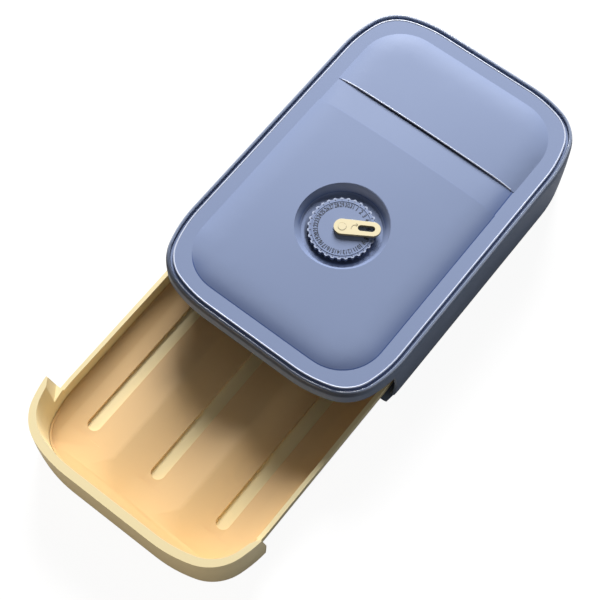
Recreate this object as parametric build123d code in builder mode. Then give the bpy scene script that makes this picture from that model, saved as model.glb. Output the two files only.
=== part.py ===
"""Egg keeper: a casing with a domed cover and a date dial, and an egg drawer that slides out of it.

The origin is on the floor under the middle of the casing. +Z is up, the drawer opens towards -Y,
and the drawer is drawn partly open. All sizes are in millimetres.
"""

import os
from math import atan2, cos, hypot, radians, sin, sqrt

from build123d import *

os.makedirs("parts", exist_ok=True)

# Casing, measured over its widest outline
CASING_WIDTH = 220.0
CASING_LENGTH = 336.0
RIM_HEIGHT = 68.0  # floor to the flat rim of the cover
CORNER_TIGHT = 40.0  # radius in the middle of a corner
CORNER_EASE = 116.0  # radius where a corner runs out into a side
CORNER_EASE_ANGLE = 18.0  # degrees turned by each easing arc
WALL = 2.4
FLOOR_THICKNESS = 2.2
FLOOR_LIFT = 1.2  # the feet lift the casing by this
SIDE_DRAFT = 1.6  # the wall leans in by this from the mouth's top to its foot
SIDE_BOW = 0.4  # and bows out by this half way down
SHOULDER_EASE = 16.0  # radius of the shoulder above the header
SHOULDER_EASE_ANGLE = 20.0
FOOT_ROUND = 5.8  # height of the rounded foot of the wall
FOOT_TURN_IN = 6.0  # the rounded foot turns in by this
LIP_WIDTH = 3.4  # widest outline to the inner face of the lip
LIP_RISE = 0.6  # the lip stands this far above the rim
LIP_INNER_ROUND = 0.6
LIP_OUTER_ROUND = 1.5

# Drawer mouth
HEADER_HEIGHT = 14.0
HORN_REACH = 53.0  # how far the drawer front wraps back round the casing
MOUTH_LEAN = 5.0  # the front edges of the side walls run back by this on their way down
TONGUE_REACH = 3.0  # casing floor in front of the top of its side walls
MOUTH_GAP = 0.6

# Cover
COVER_FLANGE = 1.6
COVER_THICKNESS = 2.2
COVER_GAP = 0.4
GROOVE_DEPTH = 2.4
GROOVE_WIDTH = 2.5
LEDGE_OVERLAP = 2.2  # the cover's flange lies on the casing's ledge by this
LEDGE_EDGE = 1.2
LEDGE_GUSSET = 5.0
SKIRT_DEPTH = 5.0
SKIRT_WALL = 1.6
COVER_EDGE_ROUND = 1.3
RIM_BAND = 13.1  # flat band between the cover's edge and its dome
DOME_CORNER = 40.0
DOME_ROLL_WIDTH = 30.0  # the dome's edge rolls over within this
DOME_ROLL_RISE = 3.4
DOME_CROWN = 3.6  # and its middle crowns up by this above the roll
SKIN_PITCH = 9.0  # spacing of the points that the dome's skin is fitted to
STEP_Y = 72.0  # the sharp step across the dome
BAND_LENGTH = 27.0  # the band in front of the step
STEP_DEPTH = 1.8
BAND_EDGE = 0.2  # the band's front edge lies this deep
STEP_FADE = 6  # power by which the step dies out towards the sides

# Date dial
DIAL_Y = -42.0
DIAL_SIDE_GAP = 5.0  # room for a finger tip between the dial and its well
WELL_FLARE = 5.0  # the well's wall opens out by this
WELL_LIP = 2.0
WELL_DEPTH = 2.4  # below the flat rim
DIAL_RADIUS = 28.5
DIAL_THICKNESS = 4.0
DIAL_WEB = 2.0
DIAL_RIM = 3.0
DIAL_HUB = 9.5
DIAL_LIFT = 0.5
TOOTH_COUNT = 31
TOOTH_RADIUS = 1.9
TOOTH_DEPTH = 1.2
TRACK_INSET = 3.2  # the raised ring lies this far inside the dial's edge
TRACK_WIDTH = 0.8
TRACK_HEIGHT = 0.4
BOSS_RADIUS = 6.0
POINTER_WIDTH = 14.0
POINTER_TIP_WIDTH = 13.0
POINTER_REACH = 31.5
POINTER_THICKNESS = 3.0
POINTER_ANGLE = 31.6  # from +X towards +Y as drawn
WINDOW_LENGTH = 14.0
WINDOW_WIDTH = 5.2
WINDOW_CENTRE = 19.8
AXLE_RADIUS = 2.0
AXLE_HEAD_RADIUS = 3.2
AXLE_HEAD = 1.4
WASHER_RADIUS = 5.0
WASHER_THICKNESS = 0.6
CLIP_RADIUS = 4.0
CLIP_THICKNESS = 1.0
AXLE_TAIL = 0.6  # the pin stands this far below its clip
TURN_FIT = 0.05  # radial clearance of everything that turns
FACE_GAP = 0.3  # gap between faces that slide or turn past each other

# Drawer
DRAWER_OPEN = 168.0  # how far the drawer stands open as drawn
DRAWER_SIDE_CLEARANCE = 3.8  # casing's side wall to the lip of the drawer's low walls
DRAWER_LIP = 1.4  # the lip stands out from the low walls by this
DRAWER_LIP_HEIGHT = 2.6
DRAWER_WALL = 2.2
DRAWER_FLOOR = 1.8
RAIL_HEIGHT = 1.0
RAIL_WIDTH = 4.0
RAIL_INSET = 40.0  # casing's widest side to the middle of a rail
GUIDE_WIDTH = 2.0  # ribs under the drawer that run along the rails
SIDE_WALL_TOP = 28.0
FRONT_BAND = 7.2
SIDE_BAND = 4.2
FRONT_SKIN = 2.0
FRONT_BOTTOM = 1.5  # the tall front hangs down to this height
FLARE_START = 20.0  # height where the inner face of the tall front starts to flare
HORN_TAPER = 7.0
HORN_TIP = 1.8

# Egg rack
RACK_GAP = 0.3
RACK_TOP = 15.5
RACK_SHEET = 1.8
RACK_EDGE = 1.6
MIDDLE_LANE = 64.0
RIDGE_WIDTH = 5.0
LEDGE_WIDTH = 1.8
KNEE_X = 17.5  # the lane's gentle floor ends this far from its middle
KNEE_Z = 11.0
SLOT_WIDTH = 12.0
SLOT_EDGE_Z = 9.6
APRON_LENGTH = 30.0
NOSE_LENGTH = 18.0
SLOT_END_GAP = 8.0

# Stops that keep the drawer from sliding right out
DRAWER_KEPT_IN = 96.0  # length of the casing less the drawer's whole travel
STOP_X = 40.0
STOP_WIDTH = 16.0
STOP_LENGTH = 3.0
STOP_DEPTH = 0.9

# Feet
FOOT_RADIUS = 7.0
FOOT_RECESS = 1.0
FOOT_GAP = 0.2
FOOT_SIDE_INSET = 32.0  # casing's widest outline to the middle of a foot
FOOT_END_INSET = 64.0

# Levels and places worked out from the sizes above
HALF_WIDTH = CASING_WIDTH / 2
HALF_LENGTH = CASING_LENGTH / 2
FLOOR_TOP = FLOOR_LIFT + FLOOR_THICKNESS
RAIL_TOP = FLOOR_TOP + RAIL_HEIGHT
MOUTH_TOP = RIM_HEIGHT - HEADER_HEIGHT
WALL_FOOT_Z = FLOOR_LIFT + FOOT_ROUND
FLANGE_TOP = RIM_HEIGHT - GROOVE_DEPTH
LEDGE_TOP = FLANGE_TOP - COVER_FLANGE
SIDE_FRONT_Y = -HALF_LENGTH + HORN_REACH
RAIL_X = HALF_WIDTH - RAIL_INSET
FOOT_X = HALF_WIDTH - FOOT_SIDE_INSET
FOOT_Y = HALF_LENGTH - FOOT_END_INSET
DRAWER_BOTTOM = RAIL_TOP + FACE_GAP
DRAWER_FLOOR_TOP = DRAWER_BOTTOM + DRAWER_FLOOR
DRAWER_TOP = MOUTH_TOP - MOUTH_GAP
DRAWER_SIDE_GAP = WALL + DRAWER_SIDE_CLEARANCE
TUB_INSET = DRAWER_SIDE_GAP + DRAWER_LIP
POCKET_INSET = TUB_INSET + DRAWER_WALL
RACK_INSET = POCKET_INSET + RACK_GAP
DOME_INSET = LIP_WIDTH + GROOVE_WIDTH + RIM_BAND
DOME_TOP = RIM_HEIGHT + DOME_ROLL_RISE + DOME_CROWN
WELL_FLOOR_RADIUS = DIAL_RADIUS + DIAL_SIDE_GAP
WELL_TOP_RADIUS = WELL_FLOOR_RADIUS + WELL_FLARE
WELL_FLOOR = RIM_HEIGHT - WELL_DEPTH
DIAL_BOTTOM = WELL_FLOOR + DIAL_LIFT
DIAL_TOP = DIAL_BOTTOM + DIAL_THICKNESS
POINTER_BOTTOM = DIAL_TOP + TRACK_HEIGHT + FACE_GAP
POINTER_TOP = POINTER_BOTTOM + POINTER_THICKNESS
STOP_BACK_Y = HALF_LENGTH - SIDE_DRAFT - TUB_INSET - 4
OPEN_LIMIT = CASING_LENGTH - DRAWER_KEPT_IN
ABOVE_ALL = RIM_HEIGHT + 40.0
BEYOND = 40.0  # cutting shapes run past the object by this


def corner_reach(tight, ease):
    """Length of side that a corner of three arcs takes."""
    turn = radians(CORNER_EASE_ANGLE)
    return ease * (1 + sin(turn) - cos(turn)) + tight * (cos(turn) - sin(turn))


def plan_quarter(half_width, half_length, tight, ease):
    """A quarter of a plan outline: half a side, a corner of three arcs and half an end."""
    reach = corner_reach(tight, ease)
    side = Line((half_width, 0), (half_width, half_length - reach))
    first = JernArc(side @ 1, side % 1, ease, CORNER_EASE_ANGLE)
    middle = JernArc(first @ 1, first % 1, tight, 90 - 2 * CORNER_EASE_ANGLE)
    last = JernArc(middle @ 1, middle % 1, ease, CORNER_EASE_ANGLE)
    Line(last @ 1, (0, half_length))


def mouth_pinch(reach):
    """How far the outline has turned in at this distance behind the casing's front."""
    run = max(0, corner_reach(CORNER_TIGHT, CORNER_EASE) - reach)
    return CORNER_EASE - sqrt(CORNER_EASE**2 - run**2)


def mouth_room(end, setback, bottom, top):
    """The whole room between y = end and the leaning mouth edge, which is set back to the front."""
    low_y = SIDE_FRONT_Y + MOUTH_LEAN - setback
    top_y = low_y - MOUTH_LEAN * (top - SIDE_WALL_TOP) / (MOUTH_TOP - SIDE_WALL_TOP)
    with BuildPart() as room:
        with BuildSketch(Plane.YZ):
            with BuildLine():
                slope = Polyline((end, bottom), (low_y, bottom), (low_y, SIDE_WALL_TOP), (top_y, top))
                Polyline(slope @ 1, (end, top), slope @ 0)
            make_face()
        extrude(amount=CASING_WIDTH, both=True)
    return room.part


def plan_line(inset):
    """The casing's whole plan outline, moved in by inset, as a closed wire."""
    with BuildLine() as outline:
        plan_quarter(HALF_WIDTH - inset, HALF_LENGTH - inset, CORNER_TIGHT - inset, CORNER_EASE - inset)
        mirror(about=Plane.YZ)
        mirror(about=Plane.XZ)
    return outline.wire()


def plan_face(inset):
    """The same outline as a face, for the sketch that is open."""
    make_face(plan_line(inset).edges())


def plan_block(inset, bottom, top):
    """An upright block with the casing's plan outline."""
    with BuildPart() as block:
        with BuildSketch(Plane.XY.offset(bottom)):
            plan_face(inset)
        extrude(amount=top - bottom)
    return block.part


def side_x(height):
    """Half width of the casing's outside at a height, along the bowed and leaning side wall."""
    half_rise = (MOUTH_TOP - WALL_FOOT_Z) / 2
    chord_x = HALF_WIDTH - SIDE_DRAFT / 2
    half_chord = hypot(half_rise, SIDE_DRAFT / 2)
    radius = (half_chord**2 + SIDE_BOW**2) / (2 * SIDE_BOW)
    lean = atan2(SIDE_DRAFT / 2, half_rise)
    centre_x = chord_x - (radius - SIDE_BOW) * cos(lean)
    centre_z = WALL_FOOT_Z + half_rise + (radius - SIDE_BOW) * sin(lean)
    return centre_x + sqrt(radius**2 - (height - centre_z) ** 2)


def body_form(inset, bottom, top, core=30.0):
    """The leaning outside of the casing's walls, moved in by inset, as a solid from bottom to top."""
    middle = (WALL_FOOT_Z + MOUTH_TOP) / 2
    with BuildPart() as form:
        with BuildSketch(Plane.XZ):
            with BuildLine():
                wall = ThreePointArc(
                    (side_x(MOUTH_TOP) - inset, MOUTH_TOP),
                    (side_x(middle) - inset, middle),
                    (side_x(WALL_FOOT_Z) - inset, WALL_FOOT_Z),
                )
                foot = Line(wall @ 1, (side_x(WALL_FOOT_Z) - inset - 2, 0))
                Polyline(foot @ 1, (HALF_WIDTH - core, 0), (HALF_WIDTH - core, MOUTH_TOP), wall @ 0)
            make_face()
        sweep(path=plan_line(0))
        add(plan_block(core - 1, 0, MOUTH_TOP))
        with BuildSketch(Plane.XY.offset(bottom)):
            Rectangle(2 * CASING_WIDTH, 2 * CASING_LENGTH)
        extrude(amount=top - bottom, mode=Mode.INTERSECT)
    return form.part


# Casing body: floor, walls, lip and header in one moulding
with BuildPart() as casing_body:
    lip_x = HALF_WIDTH - LIP_WIDTH
    lip_top = RIM_HEIGHT + LIP_RISE
    shoulder_turn = radians(SHOULDER_EASE_ANGLE)
    shoulder_run = LIP_OUTER_ROUND * cos(shoulder_turn) + SHOULDER_EASE * (1 - cos(shoulder_turn))
    ledge_x = lip_x - LEDGE_OVERLAP
    foot_x = side_x(WALL_FOOT_Z)
    middle_z = (MOUTH_TOP + WALL_FOOT_Z) / 2
    core_x = HALF_WIDTH - 16
    with BuildSketch(Plane.XZ):
        with BuildLine():
            lip_face = Line((lip_x, LEDGE_TOP), (lip_x, lip_top - LIP_INNER_ROUND))
            lip_turn = JernArc(lip_face @ 1, (0, 1), LIP_INNER_ROUND, -90)
            lip_flat = Line(lip_turn @ 1, (HALF_WIDTH - shoulder_run, lip_top))
            lip_edge = JernArc(lip_flat @ 1, (1, 0), LIP_OUTER_ROUND, SHOULDER_EASE_ANGLE - 90)
            shoulder = JernArc(lip_edge @ 1, lip_edge % 1, SHOULDER_EASE, -SHOULDER_EASE_ANGLE)
            header = Line(shoulder @ 1, (HALF_WIDTH, MOUTH_TOP))
            side = ThreePointArc(header @ 1, (side_x(middle_z), middle_z), (foot_x, WALL_FOOT_Z))
            foot_turn = ThreePointArc(
                side @ 1,
                (foot_x - 0.3 * FOOT_TURN_IN, FLOOR_LIFT + 0.3 * FOOT_ROUND),
                (foot_x - FOOT_TURN_IN, FLOOR_LIFT),
            )
            under = Polyline(foot_turn @ 1, (core_x, FLOOR_LIFT), (core_x, FLOOR_TOP))
            floor_run = Line(under @ 1, (foot_x - WALL - 2.2, FLOOR_TOP))
            floor_turn = ThreePointArc(
                floor_run @ 1,
                (foot_x - WALL - 0.7, FLOOR_TOP + 0.9),
                (foot_x - WALL, WALL_FOOT_Z),
            )
            inner_side = ThreePointArc(
                floor_turn @ 1,
                (side_x(middle_z) - WALL, middle_z),
                (HALF_WIDTH - WALL, MOUTH_TOP),
            )
            Polyline(
                inner_side @ 1,
                (HALF_WIDTH - WALL, LEDGE_TOP - LEDGE_EDGE - LEDGE_GUSSET),
                (ledge_x, LEDGE_TOP - LEDGE_EDGE),
                (ledge_x, LEDGE_TOP),
                lip_face @ 0,
            )
        make_face()
    sweep(path=plan_line(0))
    add(plan_block(15, FLOOR_LIFT, FLOOR_TOP))
    # The drawer's mouth, and the floor cut back to a tongue in front of the side walls
    add(mouth_room(-CASING_LENGTH, 0, FLOOR_TOP, MOUTH_TOP), mode=Mode.SUBTRACT)
    with BuildSketch(Plane.XY):
        with Locations((0, SIDE_FRONT_Y - TONGUE_REACH)):
            Rectangle(CASING_WIDTH + BEYOND, CASING_LENGTH, align=(Align.CENTER, Align.MAX))
    extrude(amount=FLOOR_TOP, mode=Mode.SUBTRACT)
    rail_front = SIDE_FRONT_Y - TONGUE_REACH + 3
    rail_back = HALF_LENGTH - 20
    with BuildSketch(Plane.XY.offset(FLOOR_TOP)):
        with Locations((-RAIL_X, (rail_front + rail_back) / 2), (RAIL_X, (rail_front + rail_back) / 2)):
            SlotOverall(rail_back - rail_front, RAIL_WIDTH, rotation=90)
    extrude(amount=RAIL_HEIGHT)
    stop_front = STOP_BACK_Y - STOP_LENGTH - OPEN_LIMIT - FACE_GAP
    with BuildSketch(Plane.XY.offset(FLOOR_TOP)):
        with Locations((-STOP_X, stop_front), (STOP_X, stop_front)):
            Rectangle(STOP_WIDTH, STOP_LENGTH, align=(Align.CENTER, Align.MAX))
    extrude(amount=RAIL_HEIGHT)
    with BuildSketch(Plane.XY.offset(FLOOR_LIFT)):
        with GridLocations(2 * FOOT_X, 2 * FOOT_Y, 2, 2):
            Circle(FOOT_RADIUS + FOOT_GAP)
    extrude(amount=FOOT_RECESS, mode=Mode.SUBTRACT)
casing_body.part.label = "casing_body"
export_step(casing_body.part, "parts/casing_body.step")


def dome_height(x, y):
    """Height of the cover's pillow: a rolled edge all round and a crown over its middle."""
    half_width = HALF_WIDTH - DOME_INSET
    half_length = HALF_LENGTH - DOME_INSET
    over_x = abs(x) - half_width + DOME_CORNER
    over_y = abs(y) - half_length + DOME_CORNER
    inside = DOME_CORNER - hypot(max(over_x, 0), max(over_y, 0)) - min(max(over_x, over_y), 0)
    roll = 1 - (1 - min(inside / DOME_ROLL_WIDTH, 1)) ** 3
    crown = (1 - (x / half_width) ** 2) * (1 - (y / half_length) ** 2)
    return RIM_HEIGHT + DOME_ROLL_RISE * roll + DOME_CROWN * crown


def band_sink(x, y, step_y):
    """How deep the band lies below the pillow; it dies out towards the sides."""
    fade = 1 - (abs(x) / (HALF_WIDTH - DOME_INSET)) ** STEP_FADE
    return BAND_EDGE + STEP_DEPTH * fade * (y - step_y + BAND_LENGTH) / BAND_LENGTH


def skin(front, back, height):
    """A smooth face through a height worked out over the cover, from y = front to y = back."""
    half = HALF_WIDTH - DOME_INSET + 3
    columns = 2 * round(half / SKIN_PITCH) + 1
    rows = max(4, round((back - front) / SKIN_PITCH)) + 1
    across = [half * (2 * column / (columns - 1) - 1) for column in range(columns)]
    along = [front + (back - front) * row / (rows - 1) for row in range(rows)]
    return Face.make_surface_from_array_of_points([[(x, y, height(x, y)) for y in along] for x in across])


def dome(step_y):
    """The pillow above the rim, with its shallow band in front of a sharp step at y = step_y."""
    end = HALF_LENGTH - DOME_INSET + 3
    with BuildPart() as form:
        extrude(skin(-end, end, dome_height), amount=-BEYOND, dir=(0, 0, 1))
        sunk = lambda x, y: dome_height(x, y) - band_sink(x, y, step_y)
        band_floor = skin(step_y - BAND_LENGTH, step_y, sunk)
        extrude(band_floor, amount=BEYOND, dir=(0, 0, 1), mode=Mode.SUBTRACT)
        split(bisect_by=Plane.XY.offset(RIM_HEIGHT), keep=Keep.TOP)
    return form.part


# Top cover: rim band with its flange and skirt, dome and dial well
with BuildPart() as top_cover:
    edge_inset = LIP_WIDTH + GROOVE_WIDTH
    skirt_inset = LIP_WIDTH + LEDGE_OVERLAP + COVER_GAP
    add(plan_block(edge_inset, LEDGE_TOP, RIM_HEIGHT))
    fillet(top_cover.faces().sort_by(Axis.Z)[-1].edges(), radius=COVER_EDGE_ROUND)
    add(plan_block(LIP_WIDTH + COVER_GAP, LEDGE_TOP, FLANGE_TOP))
    add(plan_block(skirt_inset, LEDGE_TOP - SKIRT_DEPTH, LEDGE_TOP))
    hollow_top = RIM_HEIGHT - COVER_THICKNESS
    collar_top = RIM_HEIGHT + 0.78 * (DOME_TOP - RIM_HEIGHT)
    hollow = plan_block(skirt_inset + SKIRT_WALL, LEDGE_TOP - SKIRT_DEPTH, hollow_top)
    add(hollow, mode=Mode.SUBTRACT)
    add(dome(STEP_Y))
    add(dome(STEP_Y + COVER_THICKNESS).moved(Location((0, 0, -COVER_THICKNESS))), mode=Mode.SUBTRACT)
    with BuildSketch(Plane.XZ.offset(-DIAL_Y)):
        with BuildLine():
            Polyline(
                (0, WELL_FLOOR - COVER_THICKNESS),
                (WELL_FLOOR_RADIUS + COVER_THICKNESS, WELL_FLOOR - COVER_THICKNESS),
                (WELL_TOP_RADIUS + COVER_THICKNESS, collar_top),
                (0, collar_top),
                close=True,
            )
        make_face()
    revolve(axis=Axis((0, DIAL_Y, 0), (0, 0, 1)))
    with BuildSketch(Plane.XZ.offset(-DIAL_Y)):
        with BuildLine():
            well_floor = Line((0, WELL_FLOOR), (WELL_FLOOR_RADIUS, WELL_FLOOR))
            well_wall = Line(well_floor @ 1, (WELL_TOP_RADIUS, DOME_TOP - WELL_LIP))
            lip = ThreePointArc(
                well_wall @ 1,
                (WELL_TOP_RADIUS + 0.35 * WELL_LIP, DOME_TOP - 0.4 * WELL_LIP),
                (WELL_TOP_RADIUS + 1.2 * WELL_LIP, DOME_TOP + 0.1),
            )
            Polyline(lip @ 1, (WELL_TOP_RADIUS + 1.2 * WELL_LIP, ABOVE_ALL), (0, ABOVE_ALL), (0, WELL_FLOOR))
        make_face()
    revolve(axis=Axis((0, DIAL_Y, 0), (0, 0, 1)), mode=Mode.SUBTRACT)
    with BuildSketch(Plane((0, DIAL_Y, WELL_FLOOR))):
        Circle(DIAL_HUB)
    extrude(amount=DIAL_LIFT - FACE_GAP)
    with BuildSketch(Plane((0, DIAL_Y, WELL_FLOOR))):
        Circle(BOSS_RADIUS)
    extrude(amount=DIAL_TOP - WELL_FLOOR - DIAL_LIFT / 2)
    with BuildSketch(Plane((0, DIAL_Y, WELL_FLOOR - COVER_THICKNESS))):
        Circle(AXLE_RADIUS + TURN_FIT)
    extrude(amount=DIAL_TOP - WELL_FLOOR + COVER_THICKNESS, mode=Mode.SUBTRACT)
top_cover.part.label = "top_cover"
export_step(top_cover.part, "parts/top_cover.step")

# Date dial: a disc with one finger tooth for each day and a raised ring inside the teeth
with BuildPart() as date_dial:
    with BuildSketch(Plane((0, DIAL_Y, DIAL_BOTTOM))):
        Circle(DIAL_RADIUS - TOOTH_DEPTH)
        with PolarLocations(DIAL_RADIUS - TOOTH_RADIUS, TOOTH_COUNT):
            Circle(TOOTH_RADIUS)
        Circle(BOSS_RADIUS + TURN_FIT, mode=Mode.SUBTRACT)
    extrude(amount=DIAL_THICKNESS)
    with BuildSketch(Plane((0, DIAL_Y, DIAL_BOTTOM))):
        Circle(DIAL_RADIUS - TOOTH_DEPTH - DIAL_RIM)
        Circle(DIAL_HUB, mode=Mode.SUBTRACT)
    extrude(amount=DIAL_THICKNESS - DIAL_WEB, mode=Mode.SUBTRACT)
    with BuildSketch(Plane((0, DIAL_Y, DIAL_TOP))):
        Circle(DIAL_RADIUS - TRACK_INSET)
        Circle(DIAL_RADIUS - TRACK_INSET - TRACK_WIDTH, mode=Mode.SUBTRACT)
    extrude(amount=TRACK_HEIGHT)
date_dial.part.label = "date_dial"
export_step(date_dial.part, "parts/date_dial.step")

# Pointer with its window, and the pin that holds it
pointer_direction = (cos(radians(POINTER_ANGLE)), sin(radians(POINTER_ANGLE)), 0)
with BuildPart() as dial_pointer:
    with BuildSketch(Plane((0, DIAL_Y, POINTER_BOTTOM), x_dir=pointer_direction, z_dir=(0, 0, 1))):
        Circle(POINTER_WIDTH / 2)
        with Locations((POINTER_REACH - POINTER_TIP_WIDTH / 2, 0)):
            Circle(POINTER_TIP_WIDTH / 2)
        make_hull()
        with Locations((WINDOW_CENTRE, 0)):
            SlotOverall(WINDOW_LENGTH, WINDOW_WIDTH, mode=Mode.SUBTRACT)
        Circle(AXLE_RADIUS + TURN_FIT, mode=Mode.SUBTRACT)
    extrude(amount=POINTER_THICKNESS)
    with BuildSketch(Plane((0, DIAL_Y, POINTER_TOP - AXLE_HEAD - FACE_GAP / 3))):
        Circle(AXLE_HEAD_RADIUS + TURN_FIT)
    extrude(amount=AXLE_HEAD + FACE_GAP, mode=Mode.SUBTRACT)
dial_pointer.part.label = "dial_pointer"
export_step(dial_pointer.part, "parts/dial_pointer.step")

washer_top = WELL_FLOOR - COVER_THICKNESS - FACE_GAP / 3
clip_top = washer_top - WASHER_THICKNESS
axle_foot = clip_top - CLIP_THICKNESS - AXLE_TAIL
with BuildPart() as dial_axle:
    with BuildSketch(Plane((0, DIAL_Y, axle_foot))):
        Circle(AXLE_RADIUS)
    extrude(amount=POINTER_TOP - axle_foot)
    with BuildSketch(Plane((0, DIAL_Y, POINTER_TOP - AXLE_HEAD))):
        Circle(AXLE_HEAD_RADIUS)
    extrude(amount=AXLE_HEAD)
dial_axle.part.label = "dial_axle"
export_step(dial_axle.part, "parts/dial_axle.step")

with BuildPart() as dial_washer:
    with BuildSketch(Plane((0, DIAL_Y, washer_top))):
        Circle(WASHER_RADIUS)
        Circle(AXLE_RADIUS + TURN_FIT, mode=Mode.SUBTRACT)
    extrude(amount=-WASHER_THICKNESS)
dial_washer.part.label = "dial_washer"
export_step(dial_washer.part, "parts/dial_washer.step")

with BuildPart() as axle_clip:
    with BuildSketch(Plane((0, DIAL_Y, clip_top))):
        Circle(CLIP_RADIUS)
        Circle(AXLE_RADIUS + TURN_FIT, mode=Mode.SUBTRACT)
    extrude(amount=-CLIP_THICKNESS)
axle_clip.part.label = "axle_clip"
export_step(axle_clip.part, "parts/axle_clip.step")


horn_end = SIDE_FRONT_Y - MOUTH_GAP
taper_start = horn_end - HORN_TAPER
skirt_end = SIDE_FRONT_Y - TONGUE_REACH - MOUTH_GAP


def flare_form(outset):
    """The wide upper room inside the tall front, moved out by outset."""
    low_inset = HALF_WIDTH - side_x(FLARE_START) + POCKET_INSET
    with BuildPart() as flare:
        with BuildSketch(Plane.XY.offset(FLARE_START)):
            plan_face(low_inset - outset)
        with BuildSketch(Plane((0, FRONT_BAND - SIDE_BAND, MOUTH_TOP))):
            plan_face(SIDE_BAND - outset)
        loft(ruled=True)
    return flare.part


def front_half(form, setback):
    """The part of a form that lies in front of the leaning mouth edge, set back from it."""
    with BuildPart() as piece:
        add(form)
        add(mouth_room(CASING_LENGTH, setback, -BEYOND, ABOVE_ALL), mode=Mode.SUBTRACT)
    return piece.part


front_block = front_half(body_form(0, FRONT_BOTTOM, DRAWER_TOP), MOUTH_GAP)

# The room between the two skins of the tall front, open at the bottom
with BuildPart() as front_void:
    add(front_half(body_form(FRONT_SKIN, 0, DRAWER_TOP - FRONT_SKIN), MOUTH_GAP + FRONT_SKIN))
    add(body_form(TUB_INSET, DRAWER_BOTTOM, FLARE_START), mode=Mode.SUBTRACT)
    add(flare_form(DRAWER_WALL), mode=Mode.SUBTRACT)
    with BuildSketch(Plane.XY.offset(SIDE_WALL_TOP - FRONT_SKIN)):
        with Locations((0, taper_start - FRONT_SKIN)):
            Rectangle(CASING_WIDTH + BEYOND, CASING_LENGTH, align=(Align.CENTER, Align.MIN))
    extrude(amount=ABOVE_ALL, mode=Mode.SUBTRACT)

# The horns thin to a tip at their back ends, all the way down to the low walls
with BuildPart() as horn_cut:
    for cut_z, band, lean in ((SIDE_WALL_TOP, 2 * SIDE_BAND, MOUTH_LEAN), (MOUTH_TOP, SIDE_BAND, 0)):
        outside = side_x(cut_z) - mouth_pinch(HORN_REACH + lean)
        with BuildSketch(Plane.XY.offset(cut_z)):
            with BuildLine():
                Polyline(
                    (outside - 2 * POCKET_INSET, taper_start),
                    (outside - band - HORN_TIP, taper_start),
                    (outside - HORN_TIP, horn_end + lean),
                    (outside - HORN_TIP, horn_end + MOUTH_LEAN + 1),
                    (outside - 2 * POCKET_INSET, horn_end + MOUTH_LEAN + 1),
                    close=True,
                )
            make_face()
    loft(ruled=True)

# Drawer tray, built shut: tall wrap-round front, low walls, floor, and guide ribs along the rails
with BuildPart() as drawer_shut:
    add(body_form(TUB_INSET, DRAWER_BOTTOM, SIDE_WALL_TOP))
    add(body_form(DRAWER_SIDE_GAP, SIDE_WALL_TOP - DRAWER_LIP_HEIGHT, SIDE_WALL_TOP))
    add(front_block)
    add(front_void.part, mode=Mode.SUBTRACT)
    add(body_form(POCKET_INSET, DRAWER_FLOOR_TOP, SIDE_WALL_TOP + 1), mode=Mode.SUBTRACT)
    add(front_half(flare_form(0), MOUTH_GAP), mode=Mode.SUBTRACT)
    add(horn_cut.part, mode=Mode.SUBTRACT)
    add(horn_cut.part.mirror(Plane.YZ), mode=Mode.SUBTRACT)
    with BuildSketch(Plane.XY):
        with Locations((0, skirt_end)):
            Rectangle(CASING_WIDTH + BEYOND, CASING_LENGTH, align=(Align.CENTER, Align.MIN))
    extrude(amount=DRAWER_BOTTOM, mode=Mode.SUBTRACT)
    with BuildSketch(Plane.XY.offset(DRAWER_BOTTOM)):
        with Locations((-STOP_X, STOP_BACK_Y - STOP_LENGTH / 2), (STOP_X, STOP_BACK_Y - STOP_LENGTH / 2)):
            Rectangle(STOP_WIDTH, STOP_LENGTH)
        guide_x = RAIL_X - (RAIL_WIDTH + GUIDE_WIDTH) / 2 - FACE_GAP
        guide_length = STOP_BACK_Y - SIDE_FRONT_Y
        with Locations((-guide_x, STOP_BACK_Y - guide_length / 2), (guide_x, STOP_BACK_Y - guide_length / 2)):
            SlotOverall(guide_length, GUIDE_WIDTH, rotation=90)
    extrude(amount=-STOP_DEPTH)

with BuildPart() as drawer_tray:
    with Locations((0, -DRAWER_OPEN, 0)):
        add(drawer_shut.part)
drawer_tray.part.label = "drawer_tray"
export_step(drawer_tray.part, "parts/drawer_tray.step")

# Egg rack, built shut: a formed sheet with three lanes, over the drawer's floor
rack_half = side_x(RACK_TOP) - RACK_INSET
rack_back = HALF_LENGTH - HALF_WIDTH + rack_half
rack_front = -rack_back
lane_start = rack_front + APRON_LENGTH


ridge_out = MIDDLE_LANE / 2 + RIDGE_WIDTH
outer_lane_x = (ridge_out + rack_half - LEDGE_WIDTH) / 2
lane_centres = (-outer_lane_x, 0, outer_lane_x)


def lane_points():
    """Top line of the rack's sheet from its middle out to its right edge."""
    return [
        (0, SLOT_EDGE_Z),
        (SLOT_WIDTH / 2, SLOT_EDGE_Z),
        (KNEE_X, KNEE_Z),
        (MIDDLE_LANE / 2, RACK_TOP),
        (ridge_out, RACK_TOP),
        (outer_lane_x - KNEE_X, KNEE_Z),
        (outer_lane_x - SLOT_WIDTH / 2, SLOT_EDGE_Z),
        (outer_lane_x + SLOT_WIDTH / 2, SLOT_EDGE_Z),
        (outer_lane_x + KNEE_X, KNEE_Z),
        (rack_half - LEDGE_WIDTH, RACK_TOP),
        (rack_half + 1, RACK_TOP),
    ]


drawer_place = Location((0, -DRAWER_OPEN, 0))
rack_trim = body_form(RACK_INSET + RACK_EDGE / 2, DRAWER_FLOOR_TOP, RACK_TOP).moved(drawer_place)
with BuildPart() as rack_rim:
    add(body_form(RACK_INSET, DRAWER_FLOOR_TOP, RACK_TOP).moved(drawer_place))
    add(body_form(RACK_INSET + RACK_EDGE, 0, MOUTH_TOP).moved(drawer_place), mode=Mode.SUBTRACT)

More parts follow.
